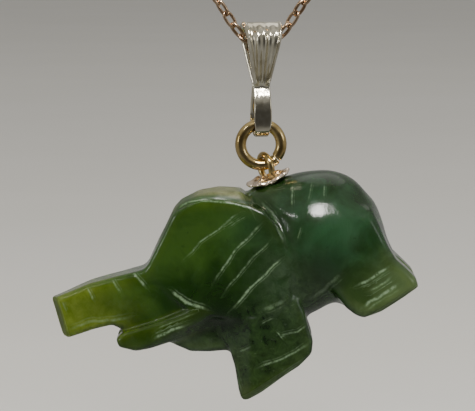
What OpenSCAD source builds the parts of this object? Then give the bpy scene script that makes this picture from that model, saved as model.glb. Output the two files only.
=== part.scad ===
// Carved jade elephant pendant on a fluted bail and a short run of cable chain.
// Millimetres. +Z is up, +X runs to the elephant's tail, -Y is its left side.
// The origin is halfway between the two ends of the chain, which hold it up.

/* [Chain] */
// Outer diameter of the cable chain
chain_d = 0.9; // [0.8:0.05:0.9]
// Outer diameter of each end ring
end_ring_d = 2.9; // [2.4:0.1:3.4]
// Wire diameter of each end ring
end_ring_wire = 0.5; // [0.4:0.05:0.6]

/* [Bail] */
// Width of the bail over the chain
bail_top_w = 3.1; // [2.6:0.1:3.3]
// Width of the bail at its pinched neck
bail_neck_w = 1.3; // [1.1:0.1:1.6]
// Width of the bail where it holds the jump ring
bail_foot_w = 1.45; // [1.2:0.05:1.5]
// Thickness of the bail's strip
bail_t = 0.24; // [0.2:0.02:0.28]
// Turn of the bail about the vertical, in degrees
bail_yaw = 10; // [0:1:12]

/* [Jump ring and eye pin] */
// Outer diameter of the jump ring
ring_d = 3.9; // [3.8:0.1:4.2]
// Wire diameter of the jump ring
ring_wire = 0.85; // [0.7:0.05:0.85]
// Wire diameter of the eye pin's eye
eye_wire = 0.5; // [0.4:0.05:0.5]
// Diameter of the eye pin's post
post_d = 0.8; // [0.6:0.05:0.9]
// Depth that the post goes into the stone
post_depth = 3.6; // [2.5:0.1:4.5]
// Diameter of the cap on the elephant's back
cap_d = 3.2; // [2.6:0.1:3.4]
// Lean of the eye pin, which stands square to the slope of the back, in degrees
pin_tilt = 12; // [0:1:14]

/* [Elephant] */
// Slope of the ground line when the elephant hangs, head low, in degrees
hang_tilt = 33; // [30:1:36]
// Height from the soles to the jump ring's centre, standing
ring_over_ground = 15.4; // [15.2:0.1:15.8]
// Radius of the rump, which is half the elephant's thickness
rump_r = 4.7; // [4.4:0.1:4.8]
// Clear width of the slot between the left and right legs
leg_gap = 1.2; // [0.8:0.1:1.6]
// Width of the drilled hole round the post
hole_d = 1.1; // [1.0:0.05:1.2]

/* [Hidden] */
eps = 0.01;
curve_fn = 64;
hull_fn = 28;

// The chain's centre line, end to end: two straight strands and the bend
// that the bail hangs on.
CHAIN_HALF = [[9.08, 0], [8.3, -1.2], [7.4, -2.59], [6.5, -3.97], [5.5, -5.51], [4.5, -7.05],
              [3.6, -8.44], [3.0, -9.36], [2.5, -10.13], [2.1, -10.75], [1.75, -11.25],
              [1.4, -11.6], [1.0, -11.83], [0.5, -11.97]];
CHAIN_LOW = [0, -12];
CHAIN_ROUTE = concat([for (p = CHAIN_HALF) [-p[0], p[1]]], [CHAIN_LOW],
                     [for (i = [len(CHAIN_HALF) - 1:-1:0]) CHAIN_HALF[i]]);
chain_sides = 8;
strand_angle = 57;

// Heights of what hangs below the chain.
bail_top_in = 1.2;
bail_foot_in = 0.72;
bail_pinch_r = 0.3;
bail_z = CHAIN_LOW[1];
ring_line = (ring_d - ring_wire) / 2;
ring_z = CHAIN_LOW[1] - 7.75;
foot_z = ring_z + ring_line;
pinch_z = ring_z + 4.3;
eye_line = 0.95;
eye_clear = 0.06;
eye_yaw = 25;
eye_drop = ring_line - ring_wire / 2 - eye_wire / 2 - eye_clear + eye_line;
back_drop = 3.1;
cap_h = 0.55;
cement_bed = 0.3;

// One slice of a round tube: a ring of points square to the path.
function direction(path, i) =
    let (a = path[max(i - 1, 0)], b = path[min(i + 1, len(path) - 1)], d = b - a) d / norm(d);
function slice(path, i, r, sides) =
    let (d = direction(path, i), across = [-d[1], d[0]])
    [for (k = [0:sides - 1])
        let (a = 360 * k / sides, out = r * cos(a))
        [path[i][0] + across[0] * out, r * sin(a), path[i][1] + across[1] * out]];

// A tube along a path that lies in the XZ plane, with flat ends.
module tube_along(path, r, sides) {
    n = len(path);
    points = [for (i = [0:n - 1]) each slice(path, i, r, sides)];
    walls = [for (i = [0:n - 2], k = [0:sides - 1])
        let (m = (k + 1) % sides)
        [i * sides + k, (i + 1) * sides + k, (i + 1) * sides + m, i * sides + m]];
    first = [for (k = [0:sides - 1]) k];
    last = [for (k = [sides - 1:-1:0]) (n - 1) * sides + k];
    polyhedron(points, concat(walls, [first, last]));
}

// A round wire bent into a closed ring, its axis along Z.
module wire_ring(line_r, wire_d) {
    rotate_extrude($fn = curve_fn) translate([line_r, 0]) circle(d = wire_d, $fn = curve_fn);
}

// Two circles, the second at height h, and the straight sides that touch both.
module teardrop(r1, r2, h) {
    lean = asin((r1 - r2) / h);
    side1 = [r1 * cos(lean), r1 * sin(lean)];
    side2 = [r2 * cos(lean), h + r2 * sin(lean)];
    circle(r1, $fn = curve_fn);
    translate([0, h]) circle(r2, $fn = curve_fn);
    polygon([side1, side2, [-side2[0], side2[1]], [-side1[0], side1[1]]]);
}

// The cable chain, as the round space that its links turn in.
module chain() {
    color("rosybrown") tube_along(CHAIN_ROUTE, chain_d / 2, chain_sides);
}

// A ring on one end of the chain, where the rest of the necklace joins it.
module end_ring(side) {
    line_r = (end_ring_d - end_ring_wire) / 2;
    x = side * (CHAIN_HALF[0][0] + line_r * cos(strand_angle));
    z = line_r * sin(strand_angle);
    color("goldenrod") translate([x, 0, z]) rotate([90, 0, 0]) wire_ring(line_r, end_ring_wire);
}
module left_end_ring() { end_ring(-1); }
module right_end_ring() { end_ring(1); }

// The side view of the bail's strip: a loop over the chain, a pinched neck and
// a small loop under the jump ring's wire. Drawn about the jump ring's wire.
module bail_side() {
    neck = pinch_z - foot_z;
    top = bail_z - foot_z;
    difference() {
        union() {
            teardrop(bail_foot_in + bail_t, bail_pinch_r, neck);
            translate([0, top]) mirror([0, 1])
                teardrop(bail_top_in + bail_t, bail_pinch_r, top - neck);
        }
        teardrop(bail_foot_in, bail_pinch_r - bail_t, neck);
        translate([0, top]) mirror([0, 1])
            teardrop(bail_top_in, bail_pinch_r - bail_t, top - neck);
    }
}

// The front view of the bail: wide over the chain, narrow at the neck.
module bail_front() {
    neck = pinch_z - foot_z;
    top = bail_z - foot_z + bail_top_in + bail_t;
    foot = -bail_foot_in - bail_t;
    polygon([[-bail_foot_w / 2, foot - eps], [bail_foot_w / 2, foot - eps],
             [bail_neck_w / 2, neck - 0.4], [bail_neck_w / 2, neck + 0.4],
             [bail_top_w / 2, top + eps], [-bail_top_w / 2, top + eps],
             [-bail_neck_w / 2, neck + 0.4], [-bail_neck_w / 2, neck - 0.4]]);
}

// The bail: one folded strip, closed on itself.
module bail() {
    depth = 2 * (bail_top_in + bail_t) + 1;
    color("khaki") translate([0, 0, foot_z]) rotate([0, 0, bail_yaw]) intersection() {
        translate([-bail_top_w, 0, 0]) rotate([90, 0, 90])
            linear_extrude(2 * bail_top_w) bail_side();
        translate([0, depth / 2, 0]) rotate([90, 0, 0]) linear_extrude(depth) bail_front();
    }
}

// The jump ring that joins the bail to the eye.
module jump_ring() {
    color("gold") translate([0, 0, ring_z]) rotate([90, 0, 0]) wire_ring(ring_line, ring_wire);
}

// What sits on the eye pin's axis, which leans about the jump ring's centre.
module on_pin(drop) {
    translate([0, 0, ring_z]) rotate([0, -pin_tilt, 0]) translate([0, 0, -drop]) children();
}

// The eye pin: a wire eye round the jump ring, and the post that goes into the stone.
module eye_pin() {
    post_h = back_drop + post_depth - eye_drop - eye_line;
    color("gold") {
        on_pin(eye_drop) rotate([90, 0, 90 + eye_yaw]) wire_ring(eye_line, eye_wire);
        on_pin(back_drop + post_depth) cylinder(d = post_d, h = post_h, $fn = curve_fn);
    }
}

// The low cap that covers the mouth of the hole, with a clear hole for the post.
module back_cap() {
    rim = 0.18;
    color("darksalmon") on_pin(back_drop) difference() {
        union() {
            cylinder(d = cap_d, h = rim, $fn = curve_fn);
            translate([0, 0, rim])
                cylinder(d1 = cap_d - 0.2, d2 = cap_d / 2, h = cap_h - rim, $fn = curve_fn);
        }
        translate([0, 0, -1]) cylinder(d = post_d, h = 3, $fn = curve_fn);
    }
}

// The drilled hole, and the cement that fills it round the post and under it.
module drilled_hole(depth) {
    on_pin(back_drop + depth + cement_bed) cylinder(d = hole_d, h = depth + 3, $fn = curve_fn);
}
module peg_cement() {
    color("wheat") difference() {
        on_pin(back_drop + post_depth + cement_bed)
            cylinder(d = hole_d, h = post_depth, $fn = curve_fn);
        on_pin(back_drop + post_depth) cylinder(d = post_d, h = post_depth, $fn = curve_fn);
    }
}

// A ball at a point of the standing elephant, whose ground is at z = 0.
module ball(x, y, z, r) {
    translate([x, y, z]) sphere(r, $fn = hull_fn);
}

// Barrel, head, trunk and jaw, which lie on the middle plane.
module torso() {
    hull() {
        ball(-0.35, 0, 7.35, rump_r);
        ball(-3.0, 0, 6.6, 4.0);
        ball(-6.2, 0, 7.6, 4.2);
        ball(-2.3, 0, 10.3, 2.6);
    }
}
module head() {
    hull() {
        for (y = [-1, 1]) {
            ball(-6.9, y, 13.2, 1.9);
            ball(-4.9, y, 12.3, 1.9);
            ball(-10.9, y, 10.9, 1.9);
            ball(-9.8, y, 7.0, 2.2);
        }
        ball(-4.4, 0, 8.6, 3.0);
    }
}
module trunk() {
    root_r = 1.9;
    tip_r = 1.35;
    hull() {
        ball(-12.0, 0, 10.4, root_r);
        ball(-15.2, 0, 11.6, 1.7);
    }
    hull() {
        ball(-15.2, 0, 11.6, 1.7);
        translate([-19.8, 0, 12.85]) rotate([0, 90, 0]) cylinder(r = tip_r, h = 1.2, $fn = hull_fn);
    }
}
module jaw() {
    hull() {
        ball(-9.8, 0, 6.6, 2.0);
        ball(-12.3, 0, 6.5, 1.5);
        ball(-13.4, 0, 9.0, 1.5);
    }
}

// What the elephant has one of on each side: an ear, a tusk and two legs.
module ear() {
    thick = 1.3;
    translate([0, -2.6, 0]) rotate([90, 0, 0]) linear_extrude(thick) hull() {
        translate([-7.1, 12.7]) circle(1.9, $fn = hull_fn);
        translate([-10.2, 10.9]) circle(1.3, $fn = hull_fn);
        translate([-4.3, 10.2]) circle(2.0, $fn = hull_fn);
        translate([-5.0, 6.5]) circle(1.7, $fn = hull_fn);
        translate([-9.2, 8.4]) circle(1.2, $fn = hull_fn);
    }
}
module tusk() {
    hull() {
        ball(-10.6, -1.5, 7.2, 1.7);
        ball(-13.4, -1.4, 7.9, 1.2);
        ball(-16.6, -1.1, 8.45, 0.55);
    }
}
module front_leg() {
    foot_r = 1.3;
    hull() {
        ball(-7.8, -2.3, 5.0, 2.2);
        translate([-10.4, -2.2, 0]) cylinder(r = foot_r, h = 1, $fn = hull_fn);
        translate([-6.1, -2.3, 0]) cylinder(r = foot_r, h = 1, $fn = hull_fn);
    }
}
module hind_leg() {
    foot_r = 1.5;
    hull() {
        ball(1.4, -2.1, 5.0, 2.4);
        translate([0.6, -2.3, 0]) cylinder(r = foot_r, h = 1, $fn = hull_fn);
        translate([2.9, -2.2, 0]) cylinder(r = foot_r, h = 1, $fn = hull_fn);
    }
}
module tail() {
    hull() {
        ball(3.85, 0, 6.6, 0.4);
        ball(3.45, 0, 3.0, 0.45);
    }
}

// The slot that parts the left legs from the right ones.
module leg_slot() {
    roof_z = 2.7;
    translate([-14, -leg_gap / 2, -1]) cube([20, leg_gap, roof_z + 1 - leg_gap / 2]);
    translate([-14, 0, roof_z - leg_gap / 2]) rotate([0, 90, 0])
        cylinder(d = leg_gap, h = 20, $fn = hull_fn);
}

// The whole carving as it stands, soles on z = 0.
module standing_elephant() {
    difference() {
        union() {
            torso();
            head();
            trunk();
            jaw();
            tail();
            for (side = [0, 1]) mirror([0, side, 0]) {
                ear();
                tusk();
                front_leg();
                hind_leg();
            }
        }
        leg_slot();
    }
}

// The carving as it hangs, turned about the jump ring's centre and drilled for the post.
module jade_elephant() {
    color("darkgreen") difference() {
        translate([0, 0, ring_z]) rotate([0, -hang_tilt, 0])
            translate([0, 0, -ring_over_ground]) standing_elephant();
        drilled_hole(post_depth);
    }
}

chain();
left_end_ring();
right_end_ring();
bail();
jump_ring();
eye_pin();
back_cap();
peg_cement();
jade_elephant();
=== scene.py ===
import math
from itertools import product

import bpy
import numpy as np
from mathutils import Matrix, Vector


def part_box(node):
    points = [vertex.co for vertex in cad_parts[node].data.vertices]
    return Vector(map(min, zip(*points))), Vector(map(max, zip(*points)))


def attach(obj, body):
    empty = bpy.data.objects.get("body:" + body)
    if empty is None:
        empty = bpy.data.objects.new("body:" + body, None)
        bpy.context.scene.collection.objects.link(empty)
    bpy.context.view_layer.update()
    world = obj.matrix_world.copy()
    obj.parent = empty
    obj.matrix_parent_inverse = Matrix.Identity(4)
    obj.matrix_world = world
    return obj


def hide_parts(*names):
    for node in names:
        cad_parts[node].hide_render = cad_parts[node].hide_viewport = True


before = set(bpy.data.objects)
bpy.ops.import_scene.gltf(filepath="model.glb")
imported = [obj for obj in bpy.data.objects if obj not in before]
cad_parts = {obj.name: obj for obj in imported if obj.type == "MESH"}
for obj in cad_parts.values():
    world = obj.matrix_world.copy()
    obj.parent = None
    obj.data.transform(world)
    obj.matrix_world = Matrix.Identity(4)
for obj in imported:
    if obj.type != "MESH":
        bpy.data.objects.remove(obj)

MM = 0.001

# The pendant's own measures, in mm, as in the CAD model.
STRAND = [(9.08, 0), (8.3, -1.2), (7.4, -2.59), (6.5, -3.97), (5.5, -5.51), (4.5, -7.05),
          (3.6, -8.44), (3.0, -9.36), (2.5, -10.13), (2.1, -10.75), (1.75, -11.25),
          (1.4, -11.6), (1.0, -11.83), (0.5, -11.97)]
CHAIN_LENGTH = 30.81
CHAIN_LINKS = 31
BAIL_Z = -12.0                      # the chain's lowest place, inside the bail's loop
RING_Z = BAIL_Z - 7.75              # the jump ring's centre
RING_LINE = 1.525                   # radius of the middle line of its wire
FOOT_Z = RING_Z + RING_LINE         # the middle of the bail's lower fold
PINCH_Z = RING_Z + 4.3              # where the bail is pinched
BAIL_THICK = 0.12                   # half the strip's thickness
BAIL_YAW = math.radians(10)
EYE_YAW = math.radians(25)
EYE_DROP = 1.74                     # from the jump ring's centre to the eye's
EYE_LINE = 0.95
HANG_TILT = math.radians(33)        # how far the carving leans as it hangs
PIN_TILT = math.radians(12)
RING_OVER_GROUND = 15.4             # the jump ring's centre over the standing carving's feet
LEG_SLOT = 0.6                      # half the slot between the legs
LEG_SLOT_TOP = 2.1
HOLE_RADIUS = 0.55
HOLE_DEPTH = 7.0                    # from the jump ring's centre

# The grid that the carving is worked out on, in mm, and how often it is smoothed.
GRID_BOX = (-20.8, -5.4, -0.9), (5.4, 5.4, 16.2)
GRID_STEP = 0.11
POLISH_PASSES = 2

# Colours in linear red, green and blue. A pair is the dark and the light side of a clouded one.
# HEAD_GREEN and RUMP_GREEN are mixed by painted light and shade: lighter where light falls, darker
# where it doesn't.
HEAD_GREEN = (0.006, 0.024, 0.0012), (0.025, 0.062, 0.007)
RUMP_GREEN = (0.007, 0.023, 0.004), (0.019, 0.062, 0.024)
# Moss-clouded stone in darker tones for the lower front body: the moss is the stone's own, the
# darkening is painted shade.
SHADED_MOSS = (0.003, 0.013, 0.0015), (0.020, 0.048, 0.011)
# Painted light shining through the clear stone where it is thin: lighter olive.
TRUNK_LIT_THROUGH = (0.062, 0.098, 0.004), (0.110, 0.150, 0.017)
FOOT_LIT_THROUGH = (0.036, 0.066, 0.016), (0.080, 0.118, 0.040)
CROWN = (0.09, 0.10, 0.03), (0.20, 0.21, 0.10)
WISP = (0.035, 0.075, 0.030)
MOSS_THREAD = (0.075, 0.105, 0.060)
HAZE = (0.050, 0.082, 0.045)
# The colour of painted shade under the ear's lower point and low on the rump.
SHADE_PATCH = (0.003, 0.011, 0.002)
DARK_FLECK = (0.004, 0.014, 0.002)
CUT_WHITE = (0.18, 0.27, 0.15)
CEMENT = (0.45, 0.36, 0.22), (0.72, 0.62, 0.44)
FLOOR = (0.74, 0.72, 0.66), (0.78, 0.76, 0.71)
ROOM_SIDES = (0.75, 0.74, 0.71)
ROOM_WALL = (0.35, 0.34, 0.31)
WARM_LIGHT = (1.0, 0.98, 0.95)
COOL_LIGHT = (0.97, 0.98, 1.0)
METALS = {                          # polished colour, film's colour, roughness and wear
    "yellow_gold": ((0.70, 0.53, 0.24), (0.40, 0.28, 0.10), 0.12, 1.0),
    "rose_gold_chain": ((0.72, 0.52, 0.34), (0.42, 0.26, 0.14), 0.16, 1.0),
    "rose_gold": ((0.88, 0.74, 0.59), (0.62, 0.48, 0.36), 0.15, 1.0),
    "pale_gold": ((0.92, 0.87, 0.70), (0.66, 0.60, 0.45), 0.09, 0.6)}

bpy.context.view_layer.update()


# ---------------------------------------------------------------- small helpers

def add_mesh(name, points, faces):
    """A smooth mesh object from points in mm."""
    mesh = bpy.data.meshes.new(name)
    mesh.from_pydata((np.asarray(points, float) * MM).tolist(), [], [list(f) for f in faces])
    mesh.validate()
    mesh.polygons.foreach_set("use_smooth", [True] * len(mesh.polygons))
    obj = bpy.data.objects.new(name, mesh)
    bpy.context.scene.collection.objects.link(obj)
    return obj


def place(obj, material, body, node):
    """Gives a piece its material and says what it rides on and stands for."""
    obj.data.materials.clear()
    obj.data.materials.append(material)
    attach(obj, body)
    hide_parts(node)
    return obj


def look_from(obj, azimuth, elevation, distance, aim):
    """Adds a camera or light that looks at its aim; azimuth 0 is the front, and angles are in
    degrees."""
    a, e = math.radians(azimuth), math.radians(elevation)
    back = Vector((math.sin(a) * math.cos(e), -math.cos(a) * math.cos(e), math.sin(e)))
    obj.location = aim + back * distance
    obj.rotation_euler = (-back).to_track_quat("-Z", "Y").to_euler()
    bpy.context.scene.collection.objects.link(obj)


def float_attribute(obj, name, values):
    attribute = obj.data.attributes.new(name, "FLOAT", "POINT")
    attribute.data.foreach_set("value", np.asarray(values, np.float32))


def smoothstep(low, high, x):
    t = np.clip((x - low) / (high - low), 0, 1)
    return t * t * (3 - 2 * t)


def frames_along(path, closed, up):
    """Side and normal at each point of a path that stays clear of the up direction."""
    if closed:
        tangent = np.roll(path, -1, 0) - np.roll(path, 1, 0)
    else:
        tangent = np.gradient(path, axis=0)
    tangent /= np.linalg.norm(tangent, axis=1)[:, None]
    side = np.cross(tangent, np.asarray(up, float))
    side /= np.linalg.norm(side, axis=1)[:, None]
    return side, np.cross(side, tangent)


def loft(rings, closed):
    """Points and faces of a skin over equal rings of points, with flat ends if it isn't closed."""
    rings = np.asarray(rings, float)
    n, m = rings.shape[:2]
    faces = []
    for i in range(n if closed else n - 1):
        next_i = (i + 1) % n
        for k in range(m):
            next_k = (k + 1) % m
            faces.append((i * m + k, next_i * m + k, next_i * m + next_k, i * m + next_k))
    if not closed:
        faces.append(tuple(range(m - 1, -1, -1)))
        faces.append(tuple((n - 1) * m + k for k in range(m)))
    return rings.reshape(-1, 3), faces


def wire(path, radius, closed=False, sides=16, up=(0, 1, 0)):
    """A round wire along a path; radius may change along it."""
    path = np.asarray(path, float)
    side, normal = frames_along(path, closed, up)
    radius = np.broadcast_to(radius, len(path))
    angle = np.linspace(0, 2 * math.pi, sides, endpoint=False)
    rings = [p + r * (np.cos(angle)[:, None] * s + np.sin(angle)[:, None] * n)
             for p, s, n, r in zip(path, side, normal, radius)]
    return loft(rings, closed)


def rounded_ends(count, radius, length, end_share):
    """Radii along an open wire of that many points, rounded over that share of a radius at each
    end."""
    s = np.linspace(0, length, count)
    end = np.minimum(s, length - s)
    short = 1 - np.clip(end / (radius * end_share), 0, 1)
    return radius * np.sqrt(np.clip(1 - short ** 2, 0.02, 1))


def merge(parts):
    """Several (points, faces) as one."""
    points, faces, start = [], [], 0
    for p, f in parts:
        points.append(p)
        faces += [tuple(i + start for i in face) for face in f]
        start += len(p)
    return np.concatenate(points), faces


# ---------------------------------------------------------------- camera

def make_camera():
    """Looks straight at the elephant's side, from a little above."""
    data = bpy.data.cameras.new("camera")
    data.sensor_width, data.lens = 36, 222
    data.clip_start, data.clip_end = 0.01, 20
    data.dof.use_dof = False
    camera = bpy.data.objects.new("camera", data)
    look_from(camera, 0, 6, 0.22, Vector((-1.76, 0, RING_Z - 4.6)) * MM)
    bpy.context.scene.camera = camera


# ---------------------------------------------------------------- materials

class Nodes:
    """Short ways to add nodes to a node tree."""

    def __init__(self, tree):
        self.tree = tree

    def join(self, node, inputs):
        """Sets inputs to values, or links them where the value is another node's output."""
        for key, value in inputs.items():
            if isinstance(value, bpy.types.NodeSocket):
                self.tree.links.new(value, node.inputs[key])
            else:
                node.inputs[key].default_value = value
        return node

    def node(self, kind, inputs=None, **settings):
        node = self.tree.nodes.new("ShaderNode" + kind)
        for key, value in settings.items():
            setattr(node, key, value)
        return self.join(node, inputs or {})

    def spread(self, value, low, high, to_low=0.0, to_high=1.0):
        return self.node("MapRange", {"Value": value, "From Min": low, "From Max": high,
                                      "To Min": to_low, "To Max": to_high}).outputs["Result"]

    def mix(self, share, a, b):
        """Mixes two colours, each a node's output or red, green and blue."""
        factor, first, second, result = 0, 6, 7, 2    # where a Mix node has its colour sockets
        a, b = ((*c, 1) if isinstance(c, tuple) else c for c in (a, b))
        node = self.node("Mix", data_type="RGBA")
        return self.join(node, {factor: share, first: a, second: b}).outputs[result]

    def math(self, operation, a, b):
        return self.node("Math", {0: a, 1: b}, operation=operation).outputs[0]


class Material(Nodes):
    """A node material on one Principled shader."""

    def __init__(self, name, **values):
        self.data = bpy.data.materials.new(name)
        self.data.use_nodes = True
        super().__init__(self.data.node_tree)
        self.shader = self.tree.nodes["Principled BSDF"]
        for socket, value in values.items():
            self.shader.inputs[socket.replace("_", " ")].default_value = value

    def place(self):
        return self.node("TexCoord").outputs["Object"]

    def noise(self, size_mm, detail=3.0, rough=0.5, distortion=0.0, vector=None):
        inputs = {"Vector": vector or self.place(), "Scale": 1 / (size_mm * MM),
                  "Detail": detail, "Roughness": rough, "Distortion": distortion}
        return self.node("TexNoise", inputs).outputs["Fac"]

    def stretched(self, x, y, z):
        return self.node("Mapping", {"Vector": self.place(), "Scale": (x, y, z)}).outputs["Vector"]

    def attribute(self, name):
        return self.node("Attribute", attribute_name=name).outputs["Fac"]

    def bump(self, height, strength, distance_mm, normal=None):
        inputs = {"Height": height, "Strength": strength, "Distance": distance_mm * MM}
        if normal:
            inputs["Normal"] = normal
        return self.node("Bump", inputs).outputs["Normal"]

    def link(self, output, socket):
        self.tree.links.new(output, self.shader.inputs[socket])


def metal(name, color, film_color, rough, wear):
    """Polished precious metal with rub marks, fine scratches and a darker film in places."""
    m = Material(name, Metallic=1.0, IOR=1.5)
    film = m.spread(m.noise(1.3, 4, 0.6), 0.42, 0.68)
    m.link(m.mix(film, color, film_color), "Base Color")
    rub = m.noise(0.45, 5, 0.65)
    m.link(m.spread(rub, 0.3, 0.75, rough * 0.7, rough + 0.16 * wear), "Roughness")
    along = m.noise(0.12, 3, 0.6, vector=m.stretched(1, 1, 0.12))
    across = m.noise(0.16, 2, 0.5, vector=m.stretched(0.15, 1, 1))
    dents = m.noise(0.7, 2, 0.4)
    fine = m.bump(m.math("ADD", along, across), 0.25 * wear, 0.012)
    m.link(m.bump(dents, 0.35, 0.06, fine), "Normal")
    return m.data


def cut_streaks(m):
    """Whiteness of the cut lines: one soft broken stroke with a fainter one beside it."""
    side, near = m.attribute("cut_side"), m.attribute("cut_near")
    side = m.math("ADD", side, m.spread(m.noise(0.8, 2, 0.5), 0.3, 0.7, -0.22, 0.22))
    stroke = m.spread(m.math("ABSOLUTE", side, 0), 0.1, 0.62, 1, 0)
    beside = m.math("ABSOLUTE", m.math("SUBTRACT", side, 1.05), 0)
    stroke = m.math("MAXIMUM", stroke, m.spread(beside, 0.0, 0.35, 0.45, 0))
    broken = m.spread(m.noise(0.33, 4, 0.7), 0.34, 0.62, 0.15, 1)
    return m.math("MULTIPLY", m.math("MULTIPLY", stroke, near), broken)


def jade_material():
    """Nephrite: clouded green with painted light and shade, clear where thin and painted lighter
    olive as if lit through, mossy and in painted shade below, whitish in the cuts.
    """
    m = Material("jade", IOR=1.5, Subsurface_Weight=0.25, Subsurface_Scale=0.001,
                 Subsurface_Radius=(0.6, 0.9, 0.3))
    cut = cut_streaks(m)
    under, tone = m.attribute("under"), m.attribute("tone")
    # The body's green: its dark and light tones mixed by painted light and shade (the light mask)
    # and by random clouds.
    cloud = m.spread(m.noise(2.6, 4, 0.55, 0.5), 0.35, 0.65, -0.42, 0.42)
    light = m.node("Clamp", {"Value": m.math("ADD", m.attribute("light"), cloud)}).outputs[0]
    body = m.mix(tone, m.mix(light, *HEAD_GREEN), m.mix(light, *RUMP_GREEN))
    wisp = m.spread(m.noise(1.5, 5, 0.65, 0.8), 0.55, 0.78, 0, 0.30)
    body = m.mix(wisp, body, WISP)
    # Mossy stone over the lower front body, darker there as painted shade.
    moss = m.spread(m.noise(0.75, 5, 0.72, 0.6), 0.36, 0.66)
    body = m.mix(under, body, m.mix(moss, *SHADED_MOSS))
    thread = m.spread(m.noise(0.35, 4, 0.7, 1.2, m.stretched(0.6, 1, 1.2)), 0.60, 0.72, 0, 0.5)
    body = m.mix(m.math("MULTIPLY", thread, under), body, MOSS_THREAD)
    haze = m.spread(m.noise(0.9, 5, 0.7, 0.4), 0.35, 0.65, 0.1, 0.6)
    body = m.mix(m.math("MULTIPLY", haze, m.attribute("haze")), body, HAZE)
    # Painted shade: darker under the ear's lower point and low on the rump.
    body = m.mix(m.math("MULTIPLY", m.attribute("dark"), 0.85), body, SHADE_PATCH)
    fleck = m.noise(0.7, 4, 0.65, 0.3)
    body = m.mix(m.spread(fleck, 0.60, 0.74, 0, 0.5), body, DARK_FLECK)
    # Painted light shining through: thin edges, the trunk and the hind foot lighter olive, as if
    # lit through the clear stone.
    trunk = m.mix(m.spread(fleck, 0.3, 0.7), *TRUNK_LIT_THROUGH)
    foot = m.mix(m.spread(cloud, -0.3, 0.3), *FOOT_LIT_THROUGH)
    body = m.mix(m.attribute("clear"), body, m.mix(tone, trunk, foot))
    crown = m.mix(m.spread(fleck, 0.35, 0.65), *CROWN)
    body = m.mix(m.attribute("pale"), body, crown)
    m.link(m.mix(cut, body, CUT_WHITE), "Base Color")
    polish = m.spread(m.noise(1.1, 4, 0.6), 0.3, 0.7, 0.08, 0.20)
    unpolished = m.spread(m.attribute("matte"), 0, 1, 0, 0.6)
    rough = m.math("MAXIMUM", m.spread(cut, 0, 1, 0.1, 0.55), unpolished)
    rough = m.math("MAXIMUM", rough, m.spread(under, 0, 1, 0, 0.26))
    m.link(m.math("MAXIMUM", polish, rough), "Roughness")
    scratches = m.noise(0.22, 3, 0.6, 0.3, m.stretched(1, 1, 0.14))
    fine = m.bump(scratches, 0.6, 0.02)
    fine = m.bump(m.noise(0.5, 3, 0.5), 0.18, 0.03, fine)
    m.link(m.bump(m.math("MULTIPLY", cut, -1), 0.3, 0.03, fine), "Normal")
    return m.data


def cement_material():
    """Pale gritty cement."""
    m = Material("cement", Roughness=0.6)
    grit = m.noise(0.2, 4, 0.7)
    m.link(m.mix(grit, *CEMENT), "Base Color")
    m.link(m.bump(grit, 0.5, 0.03), "Normal")
    return m.data


# ---------------------------------------------------------------- chain

def chain_route():
    """The middle line of the chain, from the left end ring down through the bail to the right."""
    left = [(-x, z) for x, z in STRAND]
    flat = left + [(0, BAIL_Z)] + STRAND[::-1]
    return np.array([(x, 0, z) for x, z in flat], float)


def at_distance(route, s):
    """Points and directions at distances along a route."""
    along = np.concatenate([[0], np.cumsum(np.linalg.norm(np.diff(route, axis=0), axis=1))])

    def point(d):
        return np.stack([np.interp(d, along, route[:, k]) for k in range(3)], axis=-1)

    reach = 0.3
    direction = point(np.minimum(s + reach, along[-1])) - point(np.maximum(s - reach, 0))
    return point(s), direction / np.linalg.norm(direction, axis=-1)[:, None]


def oval_link(centre, direction, roll, rng):
    """One link: an oval of round wire, flattened a little on its sides."""
    half_length, half_width, wire_r = 0.63, 0.31, 0.125
    t = np.linspace(0, 2 * math.pi, 28, endpoint=False)
    along = half_length * np.sign(np.cos(t)) * np.abs(np.cos(t)) ** 0.85
    across = half_width * np.sign(np.sin(t)) * np.abs(np.sin(t)) ** 0.8
    u = np.array((0, 1, 0)) * math.cos(roll) + np.cross(direction, (0, 1, 0)) * math.sin(roll)
    v = np.cross(direction, u)
    path = centre + along[:, None] * direction + across[:, None] * u
    tangent = np.roll(path, -1, 0) - np.roll(path, 1, 0)
    tangent /= np.linalg.norm(tangent, axis=1)[:, None]
    outward = np.cross(tangent, v)
    angle = np.linspace(0, 2 * math.pi, 10, endpoint=False)
    r = wire_r * (1 + 0.04 * rng.standard_normal())
    rings = [p + r * (np.cos(angle)[:, None] * o + 1.05 * np.sin(angle)[:, None] * v)
             for p, o in zip(path, outward)]
    return loft(rings, True)


def make_chain(material):
    """Links along the route, each turned a quarter from the last, a little unevenly."""
    route = chain_route()
    inset = 0.25
    s = inset + np.arange(CHAIN_LINKS) * (CHAIN_LENGTH - 2 * inset) / (CHAIN_LINKS - 1)
    centres, directions = at_distance(route, s)
    rng = np.random.default_rng(4)
    links = []
    for i in range(CHAIN_LINKS):
        roll = math.radians(45 + 90 * (i % 2)) + 0.16 * rng.standard_normal()
        links.append(oval_link(centres[i], directions[i], roll, rng))
    chain = place(add_mesh("chain_links", *merge(links)), material, "necklace",
                  "chain")


def open_ring(centre, line_r, wire_d, seam_at, skew, sides=20):
    """A ring of round wire that faces the viewer, cut once, its two ends a little out of line."""
    turn = np.linspace(0, 2 * math.pi, 97)
    gap = 0.012
    angle = seam_at + gap + turn * (1 - gap / math.pi)
    lean = (turn / (2 * math.pi) - 0.5) * 2
    lean = np.sign(lean) * np.abs(lean) ** 3
    r = line_r + lean * skew[0]
    path = np.stack([centre[0] + r * np.cos(angle), centre[1] + lean * skew[1],
                     centre[2] + r * np.sin(angle)], axis=1)
    radii = rounded_ends(len(path), wire_d / 2, 2 * math.pi * line_r, 0.25)
    radii = np.maximum(radii, 0.8 * wire_d / 2)
    return wire(path, radii, sides=sides)


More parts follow.
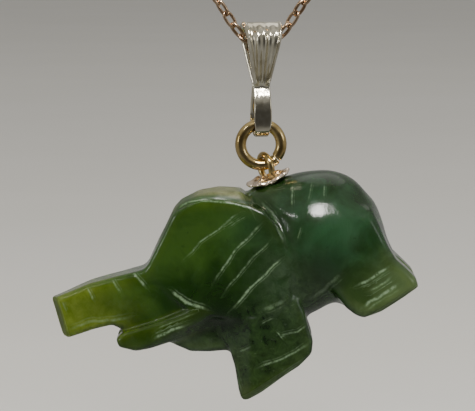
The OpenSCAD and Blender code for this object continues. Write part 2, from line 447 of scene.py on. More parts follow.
def make_end_ring(side, material):
    """The small split ring at the chain's left or right end, side -1 or 1."""
    name = "left" if side < 0 else "right"
    low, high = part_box(f"{name}_end_ring")
    centre = np.array((low + high) / 2) / MM
    seam = math.radians(60 if side > 0 else 120)
    ring = add_mesh(f"{name}_split_ring", *open_ring(centre, 1.2, 0.5, seam, (0.02, 0.05)))
    return place(ring, material, "necklace", f"{name}_end_ring")


# ---------------------------------------------------------------- bail

def bail_path():
    """The middle line of the strip in the side view, as (forward, z), closed, from the top."""
    top, pinch, foot = 1.32, 0.16, 0.86
    lean_up = math.asin((top - pinch) / (BAIL_Z - PINCH_Z))
    over = [(top * math.cos(a), BAIL_Z + top * math.sin(a))
            for a in np.linspace(math.pi / 2, -lean_up, 40)]
    under = [(foot * math.cos(a), FOOT_Z + foot * math.sin(a))
             for a in np.linspace(0, -math.pi / 2, 28)]
    neck = (pinch + 0.02, PINCH_Z)
    upper = [tuple(np.array(over[-1]) * (1 - t) + np.array(neck) * t)
             for t in np.linspace(0, 1, 40)[1:]]
    lower = [(neck[0] + (foot - neck[0]) * (1 - (1 - t) ** 3), PINCH_Z + (FOOT_Z - PINCH_Z) * t)
             for t in np.linspace(0, 1, 24)[1:-1]]
    front = np.array(over + upper + lower + under)
    back = front[-2:0:-1] * (-1, 1)
    path = np.concatenate([front, back])
    for _ in range(4):
        path = 0.5 * path + 0.25 * (np.roll(path, 1, 0) + np.roll(path, -1, 0))
    return path


def bail_half_width(z):
    """Half the strip's width at a height: widest at the top, narrowest at the foot."""
    heights, widths = zip((FOOT_Z - 0.96, 0.50), (FOOT_Z, 0.63), (FOOT_Z + 0.3, 0.68),
                          (PINCH_Z - 0.5, 0.64), (PINCH_Z + 0.3, 0.64), (PINCH_Z + 0.9, 0.78),
                          (BAIL_Z + 1.44, 1.55))
    return np.interp(z, heights, widths)


def bail_relief(u, half, z, front):
    """Height of the raised rims and the flutes over the plain strip, at a share u of the width."""
    from_edge = (1 - np.abs(u)) * half
    below_top = smoothstep(BAIL_Z + 1.40, BAIL_Z + 0.9, z)
    rim = (0.10 + 0.20 * below_top) * np.exp(-((from_edge - 0.19) / 0.13) ** 2)
    flutes = (0.01 + 0.09 * below_top) * np.cos(u * math.pi * 3.0)
    flutes = flutes * smoothstep(0.3, 0.45, from_edge)
    leaf = smoothstep(PINCH_Z + 0.3, PINCH_Z + 0.6, z) * front
    bead = 0.20 * np.exp(-(((np.abs(u) - 0.6) / 0.32) ** 2 + ((z - PINCH_Z - 0.45) / 0.26) ** 2))
    return leaf * (rim + flutes) + front * bead


def make_bail(material):
    """The folded strip, thinned at the inner corners of its lower fold, where the ring swings."""
    path = bail_path()
    tangent = np.roll(path, -1, 0) - np.roll(path, 1, 0)
    tangent /= np.linalg.norm(tangent, axis=1)[:, None]
    outward = np.stack([-tangent[:, 1], tangent[:, 0]], axis=1)
    across = np.linspace(-1, 1, 49)
    edge_round, foot_relief = 0.1, 0.02
    rings = []
    for i, (q, z) in enumerate(path):
        half = bail_half_width(z)
        front = float(smoothstep(-0.5, 0.3, q))
        past_flat = (np.abs(across) * half - half + edge_round) / edge_round
        body = np.sqrt(np.clip(1 - past_flat.clip(0) ** 2, 0.02, 1))
        outer = BAIL_THICK * body + bail_relief(across, half, z, front)
        near_foot = float(smoothstep(FOOT_Z + 1.2, FOOT_Z + 0.6, z))
        outer = outer - foot_relief * near_foot
        inner_body = (body * (1 - near_foot * across ** 2))[::4][::-1]
        inner = -(BAIL_THICK - foot_relief * near_foot) * inner_body
        u = np.concatenate([across, across[::4][::-1]]) * half
        h = np.concatenate([outer, inner])
        qs, zs = q + h * outward[i, 0], z + h * outward[i, 1]
        rings.append(np.stack([u, -qs, zs], axis=1))
    points, faces = loft(rings, True)
    x, y = points[:, 0].copy(), points[:, 1].copy()
    points[:, 0] = x * math.cos(BAIL_YAW) - y * math.sin(BAIL_YAW)
    points[:, 1] = x * math.sin(BAIL_YAW) + y * math.cos(BAIL_YAW)
    place(add_mesh("bail_strip", points, faces), material, "bail", "bail")


# ---------------------------------------------------------------- stone: distance field

def smooth_min(a, b, k):
    """The smaller of two distances, with the seam rounded over k."""
    h = np.maximum(k - np.abs(a - b), 0) / k
    return np.minimum(a, b) - h * h * k / 4


def smooth_max(a, b, k):
    return -smooth_min(-a, -b, k)


def round_cone(x, y, z, a, b):
    """A bar between two balls (x, y, z, radius)."""
    d = np.subtract(b[:3], a[:3])
    t = ((x - a[0]) * d[0] + (y - a[1]) * d[1] + (z - a[2]) * d[2]) / (d @ d)
    t = np.clip(t, 0, 1)
    away = np.sqrt((x - a[0] - t * d[0]) ** 2 + (y - a[1] - t * d[1]) ** 2
                   + (z - a[2] - t * d[2]) ** 2)
    return away - (a[3] + (b[3] - a[3]) * t)


def outline_distance(x, z, outline):
    """Distance to a closed outline in the side view, negative inside."""
    near = np.full(np.broadcast(x, z).shape, 1e9)
    inside = np.zeros(near.shape, bool)
    for (ax, az), (bx, bz) in zip(outline, outline[1:] + outline[:1]):
        ex, ez = bx - ax, bz - az
        wx, wz = x - ax, z - az
        t = np.clip((wx * ex + wz * ez) / (ex * ex + ez * ez), 0, 1)
        near = np.minimum(near, (wx - t * ex) ** 2 + (wz - t * ez) ** 2)
        if ez:
            inside ^= ((az > z) != (bz > z)) & (x < ax + (z - az) / ez * ex)
    return np.where(inside, -1, 1) * np.sqrt(near)


def line_distance(x, z, line):
    """Distance to an open line in the side view, less than 0 on its right, and how far along
    the line the nearest place is."""
    near, place_at, start = None, None, 0.0
    for (ax, az), (bx, bz) in zip(line, line[1:]):
        ex, ez = bx - ax, bz - az
        long = math.hypot(ex, ez)
        t = np.clip(((x - ax) * ex + (z - az) * ez) / long ** 2, 0, 1)
        d = np.hypot(x - ax - t * ex, z - az - t * ez)
        d = np.where(ex * (z - az) - ez * (x - ax) < 0, -d, d)
        s = start + t * long
        if near is None:
            near, place_at = d, s
        else:
            closer = np.abs(d) < np.abs(near)
            place_at = np.where(closer, s, place_at)
            near = np.where(closer, d, near)
        start += long
    return near, place_at / start


def slab(flat, faces, r):
    """A plate whose outline is flat and whose two sides are faces, with edges rounded by r."""
    a, b = flat + r, faces + r
    return (np.minimum(np.maximum(a, b), 0)
            + np.sqrt(np.maximum(a, 0) ** 2 + np.maximum(b, 0) ** 2) - r)


# Outlines and lines in the side view of the elephant as it stands, as (x, z), feet at z = 0.
EAR_TOP = [(-8.4, 15.1), (-6.8, 15.0), (-5.0, 14.2), (-3.0, 12.3)]
EAR_REAR = [(-3.0, 12.3), (-2.35, 11.3), (-2.15, 9.9), (-2.4, 8.4), (-3.2, 6.5), (-4.5, 4.7)]
FACE = [(-12.25, 12.35), (-8.2, 14.75), (-7.4, 15.05), (-6.8, 15.0), (-5.9, 14.7), (-5.0, 14.2),
        (-4.3, 13.65), (-3.6, 12.95), *EAR_REAR, (-7.0, 4.9), (-10.1, 6.9), (-11.3, 8.4),
        (-11.8, 9.8)]
SKULL = [(-12.0, 12.5), (-10.0, 13.7), (-8.1, 14.9), (-7.3, 15.1), (-5.8, 14.95), (-4.5, 14.4),
         (-3.1, 13.4), (-2.6, 12.0), (-4.0, 8.0), (-9.0, 6.0), (-11.6, 7.5), (-12.2, 10.5)]
TRUNK = [(-10.0, 12.4), (-12.5, 12.5), (-14.1, 13.0), (-16.3, 13.7), (-20.6, 14.45),
         (-20.6, 11.25), (-18.2, 10.65), (-16.7, 10.15), (-16.2, 9.4), (-15.0, 8.4), (-9.0, 7.4)]
TUSK = [(-17.1, 8.6), (-16.95, 9.2), (-16.3, 9.35), (-14.0, 8.7), (-11.8, 8.3), (-9.8, 7.9),
        (-9.4, 5.0), (-11.4, 5.6), (-13.7, 6.75), (-15.15, 7.2), (-16.2, 7.65)]
JAW = [(-13.9, 6.9), (-13.5, 6.15), (-12.9, 5.25), (-11.6, 4.45), (-10.3, 3.8), (-9.0, 4.0),
       (-8.0, 6.0), (-9.5, 8.0), (-13.0, 7.6)]
FRONT_LEG = [(-10.2, 5.2), (-10.2, 4.0), (-10.55, 2.8), (-11.25, 1.1), (-11.45, 0.4), (-11.2, 0.2),
             (-9.9, 0.1), (-6.5, 0.2), (-5.2, 0.55), (-4.6, 1.25), (-4.25, 2.6), (-3.95, 3.4),
             (-3.8, 4.5), (-5.0, 7.0), (-9.0, 7.0)]
HIND_LEG = [(4.15, 7.0), (4.1, 5.5), (3.95, 4.0), (3.9, 3.0), (4.2, 1.9), (4.38, 1.0), (4.2, 0.35),
            (2.9, 0.3), (0.9, 0.35), (-0.5, 0.65), (-0.9, 1.15), (-1.2, 2.0), (-1.2, 2.8),
            (-0.8, 4.5), (0.2, 7.0), (2.2, 8.0)]


def barrel(x, y, z):
    """Barrel, rump and withers: full and round, a little flatter across."""
    y = y / 0.93
    balls = {"rump": (-0.4, 0, 7.3, 4.7), "belly": (-3.0, 0, 6.6, 3.95),
             "chest": (-6.2, 0, 7.4, 4.1), "withers": (-2.2, 0, 9.9, 2.9),
             "croup": (1.6, 0, 8.4, 2.7)}
    body = round_cone(x, y, z, balls["rump"], balls["chest"])
    body = smooth_min(body, round_cone(x, y, z, balls["belly"], balls["chest"]), 0.8)
    body = smooth_min(body, round_cone(x, y, z, balls["withers"], balls["croup"]), 1.6)
    return smooth_min(body, round_cone(x, y, z, balls["withers"], balls["chest"]), 0.8)


def trunk_end(x, y, z):
    """The sawn end of the trunk: a slanting cut, turned a little to the near side."""
    return -0.932 * (x + 19.5) - 0.238 * y + 0.274 * (z - 13.9)


def body_distance(x, z, side):
    """Barrel, the crease behind the ear, and the legs."""
    body = barrel(x, side, z)
    crease, _ = line_distance(x, z, EAR_REAR)
    body = body + 0.28 * np.exp(-(crease / 0.7) ** 2) * smoothstep(1.0, 2.5, side)
    hind = slab(outline_distance(x, z, HIND_LEG), side - 3.8 + 0.2 * np.maximum(z - 3, 0), 0.6)
    body = smooth_min(body, hind, 1.6)
    front = slab(outline_distance(x, z, FRONT_LEG), side - 3.6, 0.35)
    bevel = 0.62 * (-0.84 * (x + 8.9) + 0.54 * (z - 3.2)) + 0.78 * (side - 3.6)
    front = smooth_max(front, bevel, 0.15)
    return smooth_min(body, front, 0.5)


def head_distance(x, y, z, side, face, facet):
    """Ears and face as one faceted plate each side, with skull, trunk, tusks and jaw."""
    head = slab(face, facet, 0.22)
    skull = slab(outline_distance(x, z, SKULL), side - 2.3, 0.8)
    gap, _ = line_distance(x, z, EAR_TOP)
    head = smooth_max(head, 0.3 - np.sqrt(gap ** 2 + (side - 2.5) ** 2), 0.1)
    head = smooth_min(head, skull, 0.12)
    trunk = slab(outline_distance(x, z, TRUNK), side - 1.2 - 0.13 * (x + 19.6), 0.5)
    trunk = smooth_max(trunk, trunk_end(x, y, z), 0.1)
    head = smooth_min(head, trunk, 0.25)
    tusk = slab(outline_distance(x, z, TUSK), np.abs(side - 1.45) - 0.95 - 0.07 * (x + 16), 0.3)
    bevel = 0.75 * (-(z - 7.15) - 0.19 * (x + 13.4)) + 0.66 * (side - 2.3)
    tusk = smooth_max(tusk, bevel, 0.15)
    jaw = slab(outline_distance(x, z, JAW), side - 1.35 - 0.12 * (x + 13), 0.45)
    return smooth_min(smooth_min(head, tusk, 0.2), jaw, 0.3)


def stone_distance(x, y, z):
    """Distance to the carving's surface as it stands, in mm, without its cut lines."""
    side = np.abs(y)
    facet = (side - 4.15 - 0.165 * (x + 2.5) + 0.07 * (z - 7)) / 1.016
    face = outline_distance(x, z, FACE)
    body, head = body_distance(x, z, side), head_distance(x, y, z, side, face, facet)
    stone = smooth_min(body, head, 0.45)
    stone = smooth_max(stone, np.minimum(-face, facet), 0.12)
    tail = round_cone(x, y, z, (3.9, 0, 6.6, 0.35), (3.5, 0, 3.2, 0.4))
    stone = smooth_min(stone, tail, 0.25)
    slot = np.maximum(side - LEG_SLOT, z - LEG_SLOT_TOP)
    slot = np.minimum(slot, np.hypot(side, z - LEG_SLOT_TOP) - LEG_SLOT)
    stone = smooth_max(stone, -slot, 0.2)
    return smooth_max(stone, drilled_hole(x, y, z), 0.03)


def drilled_hole(x, y, z):
    """Minus the distance to the blind hole on the eye pin's axis."""
    lean = HANG_TILT - PIN_TILT
    u, w = x, z - RING_OVER_GROUND
    drop = -u * math.sin(lean) - w * math.cos(lean)
    across = u * math.cos(lean) - w * math.sin(lean)
    return -np.maximum(np.hypot(across, y) - HOLE_RADIUS, drop - HOLE_DEPTH)


def blurred(field, times):
    """The field averaged with its neighbours, which rounds every edge as polishing does."""
    for _ in range(times):
        for axis in range(3):
            ahead, behind = np.roll(field, -1, axis), np.roll(field, 1, axis)
            field = 0.5 * field + 0.25 * (ahead + behind)
    return field


def surface_net(field, origin):
    """Points and quads of the field's zero surface."""
    inside = field < 0
    size = [n - 1 for n in field.shape]
    count = sum(inside[i:i + size[0], j:j + size[1], k:k + size[2]].astype(np.int8)
                for i, j, k in product((0, 1), repeat=3))
    active = (count > 0) & (count < 8)
    index = np.full(active.shape, -1, np.int64)
    cells = np.argwhere(active)
    index[active] = np.arange(len(cells))
    total, hits = np.zeros((len(cells), 3)), np.zeros(len(cells))
    for axis in range(3):
        unit = np.eye(3, dtype=int)[axis]
        others = [k for k in range(3) if k != axis]
        for a, b in product((0, 1), repeat=2):
            start = np.zeros(3, int)
            start[others] = a, b
            f0 = field[tuple((cells + start).T)]
            f1 = field[tuple((cells + start + unit).T)]
            cross = (f0 < 0) != (f1 < 0)
            t = f0[cross] / (f0[cross] - f1[cross])
            total[cross] += start + t[:, None] * unit
            hits[cross] += 1
    points = origin + GRID_STEP * (cells + total / hits[:, None])
    quads = []
    for axis in range(3):
        unit, u, v = (np.eye(3, dtype=int)[(axis + k) % 3] for k in range(3))
        first = inside[tuple(slice(0, n - 1) if k == axis else slice(1, n - 1)
                             for k, n in enumerate(inside.shape))]
        second = inside[tuple(slice(1, n) if k == axis else slice(1, n - 1)
                              for k, n in enumerate(inside.shape))]
        at = np.argwhere(first != second)
        out = first[tuple(at.T)]
        at = at + (u + v)
        quad = np.stack([index[tuple((at - a * u - b * v).T)]
                         for a, b in ((1, 1), (0, 1), (0, 0), (1, 0))], axis=1)
        quad[~out] = quad[~out][:, ::-1]
        quads.append(quad)
    return points, np.concatenate(quads)


def sample(field, origin, points):
    """The field's values at points, from the eight grid points round each."""
    q = np.clip((points - origin) / GRID_STEP, 0, np.array(field.shape) - 1.001)
    i = q.astype(int)
    f = q - i
    value = np.zeros(len(points))
    for corner in product((0, 1), repeat=3):
        weight = np.prod(np.where(corner, f, 1 - f), axis=1)
        value += weight * field[tuple((i + corner).T)]
    return value


def slope(field, origin, points):
    """The field's direction of steepest rise at points, and how steep it is."""
    e = 0.6 * GRID_STEP
    g = np.stack([sample(field, origin, points + e * u) - sample(field, origin, points - e * u)
                  for u in np.eye(3)], axis=1)
    size = np.linalg.norm(g, axis=1)
    return g / np.maximum(size, 1e-9)[:, None], size / (2 * e)


# Cut lines on the elephant's side as it stands: points as (x, z), width, depth and whiteness.
CUTS = [
    ([(-3.9, 12.3), (-5.7, 12.1), (-7.7, 11.95), (-9.4, 11.5)], 0.16, 0.05, 0.55),
    ([(-3.7, 11.8), (-5.4, 11.8)], 0.12, 0.02, 0.30),
    ([(-2.9, 10.75), (-5.4, 10.2), (-7.2, 9.5), (-8.6, 8.8)], 0.18, 0.08, 0.70),
    ([(-3.15, 9.35), (-5.6, 8.75), (-8.4, 7.8)], 0.16, 0.06, 0.55),
    ([(-3.1, 7.8), (-6.4, 7.1), (-8.6, 6.45)], 0.18, 0.10, 0.95),
    ([(-4.7, 4.95), (-6.5, 5.3)], 0.30, 0.05, 0.40),
    ([(-11.5, 10.05), (-11.0, 8.7), (-9.9, 7.4)], 0.26, 0.12, 1.0),
    ([(-14.4, 7.75), (-11.9, 7.3)], 0.24, 0.08, 1.0),
    ([(-13.9, 8.2), (-10.7, 7.7)], 0.16, 0.05, 0.40),
    ([(-18.85, 13.65), (-19.0, 12.9)], 0.14, 0.08, 0.50),
    ([(-16.7, 13.6), (-16.8, 12.5)], 0.18, 0.10, 0.60),
    ([(-14.75, 13.15), (-14.8, 11.95)], 0.18, 0.10, 0.55),
    ([(-13.15, 12.75), (-12.95, 11.2)], 0.22, 0.10, 0.75),
    ([(-19.6, 11.6), (-17.9, 11.3), (-16.4, 10.5), (-15.0, 9.9)], 0.26, 0.03, 0.40),
    ([(-7.8, 14.9), (-6.8, 14.9), (-5.9, 14.55), (-4.4, 13.5), (-3.1, 12.2), (-3.2, 11.4)],
     0.16, 0.0, 0.95),
    ([(-2.3, 12.1), (-1.95, 11.0), (-2.1, 9.9), (-2.5, 8.4)], 0.22, 0.02, 0.35),
    # The next four faint strokes on the rump's top are painted highlight streaks: fine scratches
    # shown catching the light.
    ([(0.4, 11.8), (-0.45, 10.5)], 0.15, 0.01, 0.50),
    ([(1.7, 11.1), (0.8, 10.25)], 0.14, 0.01, 0.35),
    ([(2.4, 10.45), (1.9, 9.85)], 0.14, 0.01, 0.45),
    ([(-0.7, 9.0), (-1.4, 8.3)], 0.14, 0.01, 0.35),
    ([(3.1, 2.9), (1.6, 2.9), (0.3, 3.05)], 0.24, 0.08, 0.85),
    ([(3.0, 1.45), (1.3, 1.4), (-0.2, 1.45)], 0.30, 0.08, 1.0),
    ([(2.9, 2.15), (1.7, 2.1), (0.9, 2.2)], 0.22, 0.04, 0.55),
    ([(-0.1, 4.4), (-1.8, 4.0), (-3.4, 3.9)], 0.30, 0.05, 0.30),
    ([(-9.1, 1.85), (-7.4, 1.4), (-4.85, 1.3)], 0.20, 0.08, 0.65),
    ([(-6.4, 2.95), (-5.1, 2.5), (-4.3, 2.6)], 0.18, 0.07, 0.55),
    ([(-9.65, 3.5), (-8.6, 3.45)], 0.16, 0.04, 0.45),
    ([(-6.45, 3.25), (-6.35, 2.6)], 0.13, 0.05, 0.6),
    ([(-7.1, 4.4), (-6.1, 4.35)], 0.16, 0.04, 0.4),
    ([(-10.5, 3.3), (-11.2, 0.6)], 0.20, 0.0, 0.35),
    ([(-11.2, 0.35), (-9.9, 0.2), (-5.5, 0.4)], 0.16, 0.0, 0.35),
]


def cut_lines(points, normal):
    """At each point: depth of the cuts, distance to the nearest one's middle in its widths, and
    how white it is there. The far side's cuts differ a little, as hand work does."""
    depth, white = np.zeros(len(points)), np.zeros(len(points))
    nearest = np.full(len(points), 9.0)
    rng = np.random.default_rng(11)
    facing = smoothstep(0.25, 0.6, np.abs(normal[:, 1]))
    for line, width, deep, bright in CUTS:
        shift = rng.uniform(-0.16, 0.16, (len(line), 2))
        for far in (False, True):
            path = [tuple(np.add(p, s)) for p, s in zip(line, shift)] if far else line
            which = np.flatnonzero((points[:, 1] > 0) == far)
            x, z = points[which, 0], points[which, 2]
            wobble = 0.03 * np.sin(2.1 * x + 1.7 * z)
            d, s = line_distance(x, z + wobble, path)
            ends = np.maximum(smoothstep(0, 0.15, s) * smoothstep(1, 0.75, s), 0.12)
            strength = ends * facing[which]
            groove = 0.5 * deep * strength * np.exp(-(d / width) ** 2)
            depth[which] = np.maximum(depth[which], groove)
            d = d / width
            closer = np.abs(d) < np.abs(nearest[which])
            at = which[closer]
            nearest[at] = d[closer]
            white[at] = bright * strength[closer] * (1 - smoothstep(1.6, 2.4, np.abs(d[closer])))
    return depth, nearest, white


def unevenness(p):
    """The gentle waves that hand grinding leaves, in mm."""
    x, y, z = p.T
    return (0.030 * np.sin(1.1 * x + 0.7 * z + 0.5) * np.sin(0.9 * z - 0.4 * y)
            + 0.006 * np.sin(2.3 * x - 1.6 * z + 1.1 * y)
            + 0.002 * np.sin(4.1 * z + 3.2 * y + 2.7 * x))


def patch(x, z, at_x, at_z, radius):
    """A soft round patch of the side view, 1 in its middle."""
    return np.exp(-((x - at_x) ** 2 + (z - at_z) ** 2) / radius ** 2)


def stone_tones(points, thin):
    """Where the stone is clear and painted as lit through, pale, mossy and in painted shade below,
    hazy, in painted shade, painted lighter where lit, bluish or unpolished, each from 0 to 1."""
    x, y, z = points.T
    face = outline_distance(x, z, FACE)
    trunk = smoothstep(-12.0, -18.8, x) * smoothstep(8.6, 10.3, z)
    hind_foot = smoothstep(-1.8, 0.2, x) * smoothstep(5.5, 1.5, z)
    crown = smoothstep(-2.6, -3.6, x) * smoothstep(11.8, 12.8, z) * smoothstep(-12.0, -9.5, x)
    head = smoothstep(-1.5, -4.5, x)
    # The lower front body, which gets the mossy tones darkened as painted shade.
    under = smoothstep(8.0, 5.6, z + 0.25 * (x + 8)) * smoothstep(-0.5, -3.0, x)
    edge = smoothstep(0.30, 0.80, thin)
    over_jaw = 0.65 * (x + 13.9) + 0.76 * (z - 6.9)
    jaw_edge = smoothstep(1.1, 0.1, over_jaw) * smoothstep(-9.2, -10.4, x)
    jaw_edge = jaw_edge * smoothstep(3.2, 4.0, z) * smoothstep(-13.9, -13.0, x)
    elbow = np.exp(-((x + 3.9) ** 2 + (0.8 * (z - 6.2)) ** 2) / 2.3 ** 2)
    sawn = smoothstep(-0.25, -0.05, trunk_end(x, y, z))
    soles = smoothstep(0.75, 0.45, z)
    # clear: where the stone is clear and thin, painted lighter as if lit through.
    return {"clear": np.clip(edge * (0.2 + 0.8 * trunk + 0.6 * hind_foot) + 0.6 * trunk
                             + 0.45 * hind_foot, 0, 1),
            "pale": smoothstep(0.0, 0.3, face) * crown,
            "under": under * smoothstep(-15.5, -12.5, x),
            "haze": np.maximum(elbow, jaw_edge),
            # Painted shade under the ear's lower point and low on the rump.
            "dark": patch(x, z, -9.3, 6.9, 2.0) + 0.7 * patch(x, z, -0.9, 5.6, 1.7),
            # Painted light: the head lighter towards its top, the rump lighter in a patch on its
            # flank.
            "light": head * smoothstep(8.0, 13.5, z) + (1 - head) * patch(x, z, 0.9, 7.4, 2.6),
            "tone": smoothstep(-8.0, -1.0, x + 0.3 * (9 - z) + 0.6 * np.sin(1.3 * z)),
            "matte": np.maximum(np.maximum(sawn, soles),
                                0.8 * smoothstep(-0.25, 0.05, face) * crown)}


def hung(points):
    """Standing places turned about the jump ring's centre to where the carving hangs."""
    x, y, z = points[:, 0], points[:, 1], points[:, 2] - RING_OVER_GROUND
    c, s = math.cos(HANG_TILT), math.sin(HANG_TILT)
    return np.stack([x * c - z * s, y, x * s + z * c + RING_Z], axis=1)


def stone_field():
    """The carving's field on a grid, polished, and the grid's first corner."""
    low, high = np.array(GRID_BOX)
    axes = [np.arange(a, b, GRID_STEP) for a, b in zip(low, high)]
    x, y, z = np.meshgrid(*axes, indexing="ij", sparse=True)
    field = stone_distance(x, y, z).astype(np.float32)
    return blurred(field, POLISH_PASSES), low


def make_stone(material):
    """The carving. Returns its field and the grid's first corner, for the cap to lie on."""
    field, low = stone_field()
    points, quads = surface_net(field, low)
    for _ in range(3):                  # steps that bring the points onto the surface
        direction, steep = slope(field, low, points)
        away = sample(field, low, points)
        points = points - direction * (away / np.maximum(steep, 0.5))[:, None]
    direction, _ = slope(field, low, points)
    probes = (0.5, 1.0, 1.7, 2.6, 3.6)  # depths at which the stone is felt for, in mm
    buried = [np.clip(-sample(field, low, points - t * direction) / t, 0, 1) for t in probes]
    thin = 1 - np.mean(buried, axis=0)
    depth, beside, white = cut_lines(points, direction)
    points = points + direction * (unevenness(points) - depth)[:, None]
    stone = add_mesh("elephant_carving", hung(points), quads)
    tones = {**stone_tones(points, thin), "cut_side": np.clip(beside, -3, 3), "cut_near": white}
    for name, values in tones.items():
        float_attribute(stone, name, values)
    place(stone, material, "pendant", "jade_elephant")
    return field, low


# ---------------------------------------------------------------- ring, eye and cap

def make_jump_ring(material):
    """The ring between bail and eye."""
    centre = np.array((0, 0, RING_Z))
    ring = open_ring(centre, RING_LINE, 0.84, math.radians(-42), (0.03, 0.07), 28)
    place(add_mesh("open_jump_ring", *ring), material, "jump_ring", "jump_ring")


def on_pin(points):
    """From the eye pin's own axis, up along z from the jump ring's centre, to the frame."""
    x, y, z = np.asarray(points, float).T
    c, s = math.cos(PIN_TILT), math.sin(PIN_TILT)
    return np.stack([x * c - z * s, y, x * s + z * c + RING_Z], axis=1)


def make_eye(material):
    """The eye: a loop of wire whose tail is wound round its neck, and the post."""
    wire_r, coil_r, coil_wire_r, coil_pitch, coil_turns = 0.25, 0.46, 0.19, 0.33, 2.4
    post_r, post_end = 0.38, -6.65
    loop_bottom = -EYE_DROP - EYE_LINE
    angle = np.linspace(-math.pi / 2, 1.5 * math.pi, 73)
    flat, up = EYE_LINE * np.cos(angle), EYE_LINE * np.sin(angle) - EYE_DROP
    loop = np.stack([-flat * math.sin(EYE_YAW), flat * math.cos(EYE_YAW), up], axis=1)
    normal = (math.cos(EYE_YAW), math.sin(EYE_YAW), 0)
    turn = np.linspace(0, coil_turns * 2 * math.pi, 80)
    coil = np.stack([coil_r * np.cos(turn), coil_r * np.sin(turn),
                     loop_bottom + 0.28 - turn / (2 * math.pi) * coil_pitch], axis=1)
    post = np.array([(0.0, 0, z) for z in np.linspace(loop_bottom - 0.05, post_end, 12)])
    points, faces = merge([
        wire(loop[:-1], wire_r, closed=True, up=normal),
        wire(coil, rounded_ends(80, coil_wire_r, 6.9, 1.0), up=(0, 0, 1), sides=12),
        wire(post, post_r)])
    place(add_mesh("eye_and_post", on_pin(points), faces), material, "pendant",
          "eye_pin")


def make_cap(material, field, low):
    """A small flower cap of cupped petals, lying on the stone round the eye's neck."""
    petals, ring_count, around, radius, hole_share = 6, 22, 144, 1.72, 0.18
    phi = np.linspace(0, 2 * math.pi, around, endpoint=False)
    edge = radius * (0.78 + 0.22 * np.abs(np.cos(petals * phi / 2)) ** 0.7)
    top, bottom = [], []
    for i in range(ring_count):
        t = hole_share + (1 - hole_share) * i / (ring_count - 1)
        r = edge * t
        ground = stone_drop(field, low, r * np.cos(phi), r * np.sin(phi))
        rib = 0.11 * np.cos(petals * phi) * smoothstep(0.2, 0.6, t)
        lift = 0.50 * (1 - t) ** 1.2 + 0.15 + 0.20 * smoothstep(0.62, 1.0, t) + rib
        thick = 0.15 * math.sqrt(max(0.05, 1 - max(0, (t - 0.9) / 0.1) ** 2))
        x, y = r * np.cos(phi), r * np.sin(phi)
        top.append(np.stack([x, y, -ground + lift + thick], axis=1))
        bottom.append(np.stack([x, y, -ground + lift - thick], axis=1))
    rings = top + bottom[::-1]
    points, faces = loft(rings, True)
    place(add_mesh("petal_cap", on_pin(points), faces), material, "pendant",
          "back_cap")


def stone_drop(field, low, x, y):
    """How far below the ring's centre the stone starts, along the pin's axis, at places off it."""
    nearest, farthest = 2.2, 3.9
    drop = np.full(len(x), nearest)
    for _ in range(60):
        at = to_standing(on_pin(np.stack([x, y, -drop], axis=1)))
        drop = drop + 0.7 * np.maximum(sample(field, low, at), 0)
    return np.minimum(drop, farthest)


def to_standing(points):
    """The way back from hung()."""
    x, y, z = points[:, 0], points[:, 1], points[:, 2] - RING_Z
    c, s = math.cos(HANG_TILT), math.sin(HANG_TILT)
    return np.stack([x * c + z * s, y, -x * s + z * c + RING_OVER_GROUND], axis=1)


# ---------------------------------------------------------------- stage

def make_floor():
    """A plain pale floor, which the stone and the metals don't mirror."""
    half, height = 3.0, -0.0455
    mesh = bpy.data.meshes.new("floor")
    corners = [(-half, -half, height), (half, -half, height), (half, half, height),
               (-half, half, height)]
    mesh.from_pydata(corners, [], [(0, 1, 2, 3)])
    floor = bpy.data.objects.new("floor", mesh)
    bpy.context.scene.collection.objects.link(floor)
    m = Material("floor", Roughness=0.7)
    m.link(m.mix(m.noise(40, 3, 0.5), *FLOOR), "Base Color")
    mesh.materials.append(m.data)
    floor.visible_glossy = False


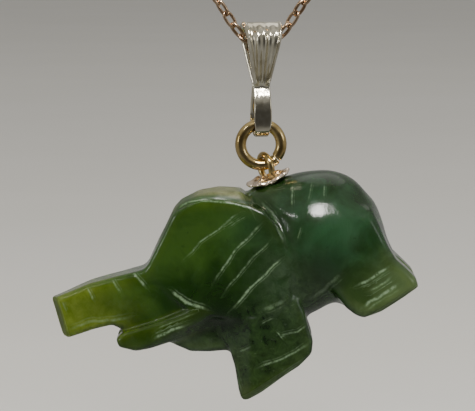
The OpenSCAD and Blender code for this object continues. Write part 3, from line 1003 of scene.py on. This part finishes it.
def make_world():
    """A room that lights from overhead, softly from both sides and behind and a little from
    below, and is dark at eye level, so that polish has depth. The eye itself sees a plain wall."""
    levels = [(0.0, 0.30), (0.22, 0.18), (0.40, 0.07), (0.5, 0.055), (0.66, 0.09), (0.8, 0.27),
              (0.92, 0.50), (1.0, 0.28)]
    world = bpy.data.worlds.new("room")
    world.use_nodes = True
    n = Nodes(world.node_tree)
    direction = n.node("SeparateXYZ", {0: n.node("TexCoord").outputs["Generated"]})
    x, y, z = direction.outputs
    height = n.spread(z, -1, 1)
    ramp = n.node("ValToRGB", {"Fac": height})
    while len(ramp.color_ramp.elements) < len(levels):
        ramp.color_ramp.elements.new(0.5)
    for element, (at, level) in zip(ramp.color_ramp.elements, levels):
        element.position, element.color = at, (level, 0.99 * level, 0.96 * level, 1)
    aside = n.math("MAXIMUM", n.math("ABSOLUTE", x, 0), y)
    share = n.math("MULTIPLY", n.spread(aside, 0.45, 0.9, 0, 0.45), n.spread(height, 0.1, 0.5))
    lit = n.mix(share, ramp.outputs["Color"], ROOM_SIDES)
    seen = n.mix(n.node("LightPath").outputs["Is Camera Ray"], lit, ROOM_WALL)
    n.tree.links.new(seen, n.tree.nodes["Background"].inputs["Color"])
    bpy.context.scene.world = world


def add_light(name, azimuth, elevation, distance, size, power, color):
    """An oval soft light that looks at the pendant; lengths in metres and power in watts."""
    data = bpy.data.lights.new(name, "AREA")
    data.shape, data.energy, data.color = "ELLIPSE", power, color
    data.size, data.size_y = size
    look_from(bpy.data.objects.new(name, data), azimuth, elevation, distance,
              Vector((0, 0, -0.024)))


def make_lights():
    add_light("key", 6, 49, 0.35, (0.16, 0.09), 1.3, WARM_LIGHT)
    add_light("top", 165, 62, 0.7, (0.60, 0.60), 0.6, WARM_LIGHT)
    add_light("glint", -43, 35, 0.35, (0.03, 0.025), 0.05, WARM_LIGHT)
    add_light("left", -62, 9, 0.4, (0.08, 0.08), 0.10, COOL_LIGHT)
    add_light("right", 62, 18, 0.4, (0.14, 0.14), 0.10, COOL_LIGHT)


# ---------------------------------------------------------------- all

make_camera()
gold = {name: metal(name, *values) for name, values in METALS.items()}
ends = [make_end_ring(side, gold["yellow_gold"]) for side in (-1, 1)]
make_chain(gold["rose_gold_chain"])
make_bail(gold["pale_gold"])
make_jump_ring(gold["yellow_gold"])
stone_grid = make_stone(jade_material())
make_eye(gold["yellow_gold"])
make_cap(gold["rose_gold"], *stone_grid)
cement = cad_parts["peg_cement"]
cement.data.materials.clear()
cement.data.materials.append(cement_material())
make_floor()
make_world()
make_lights()
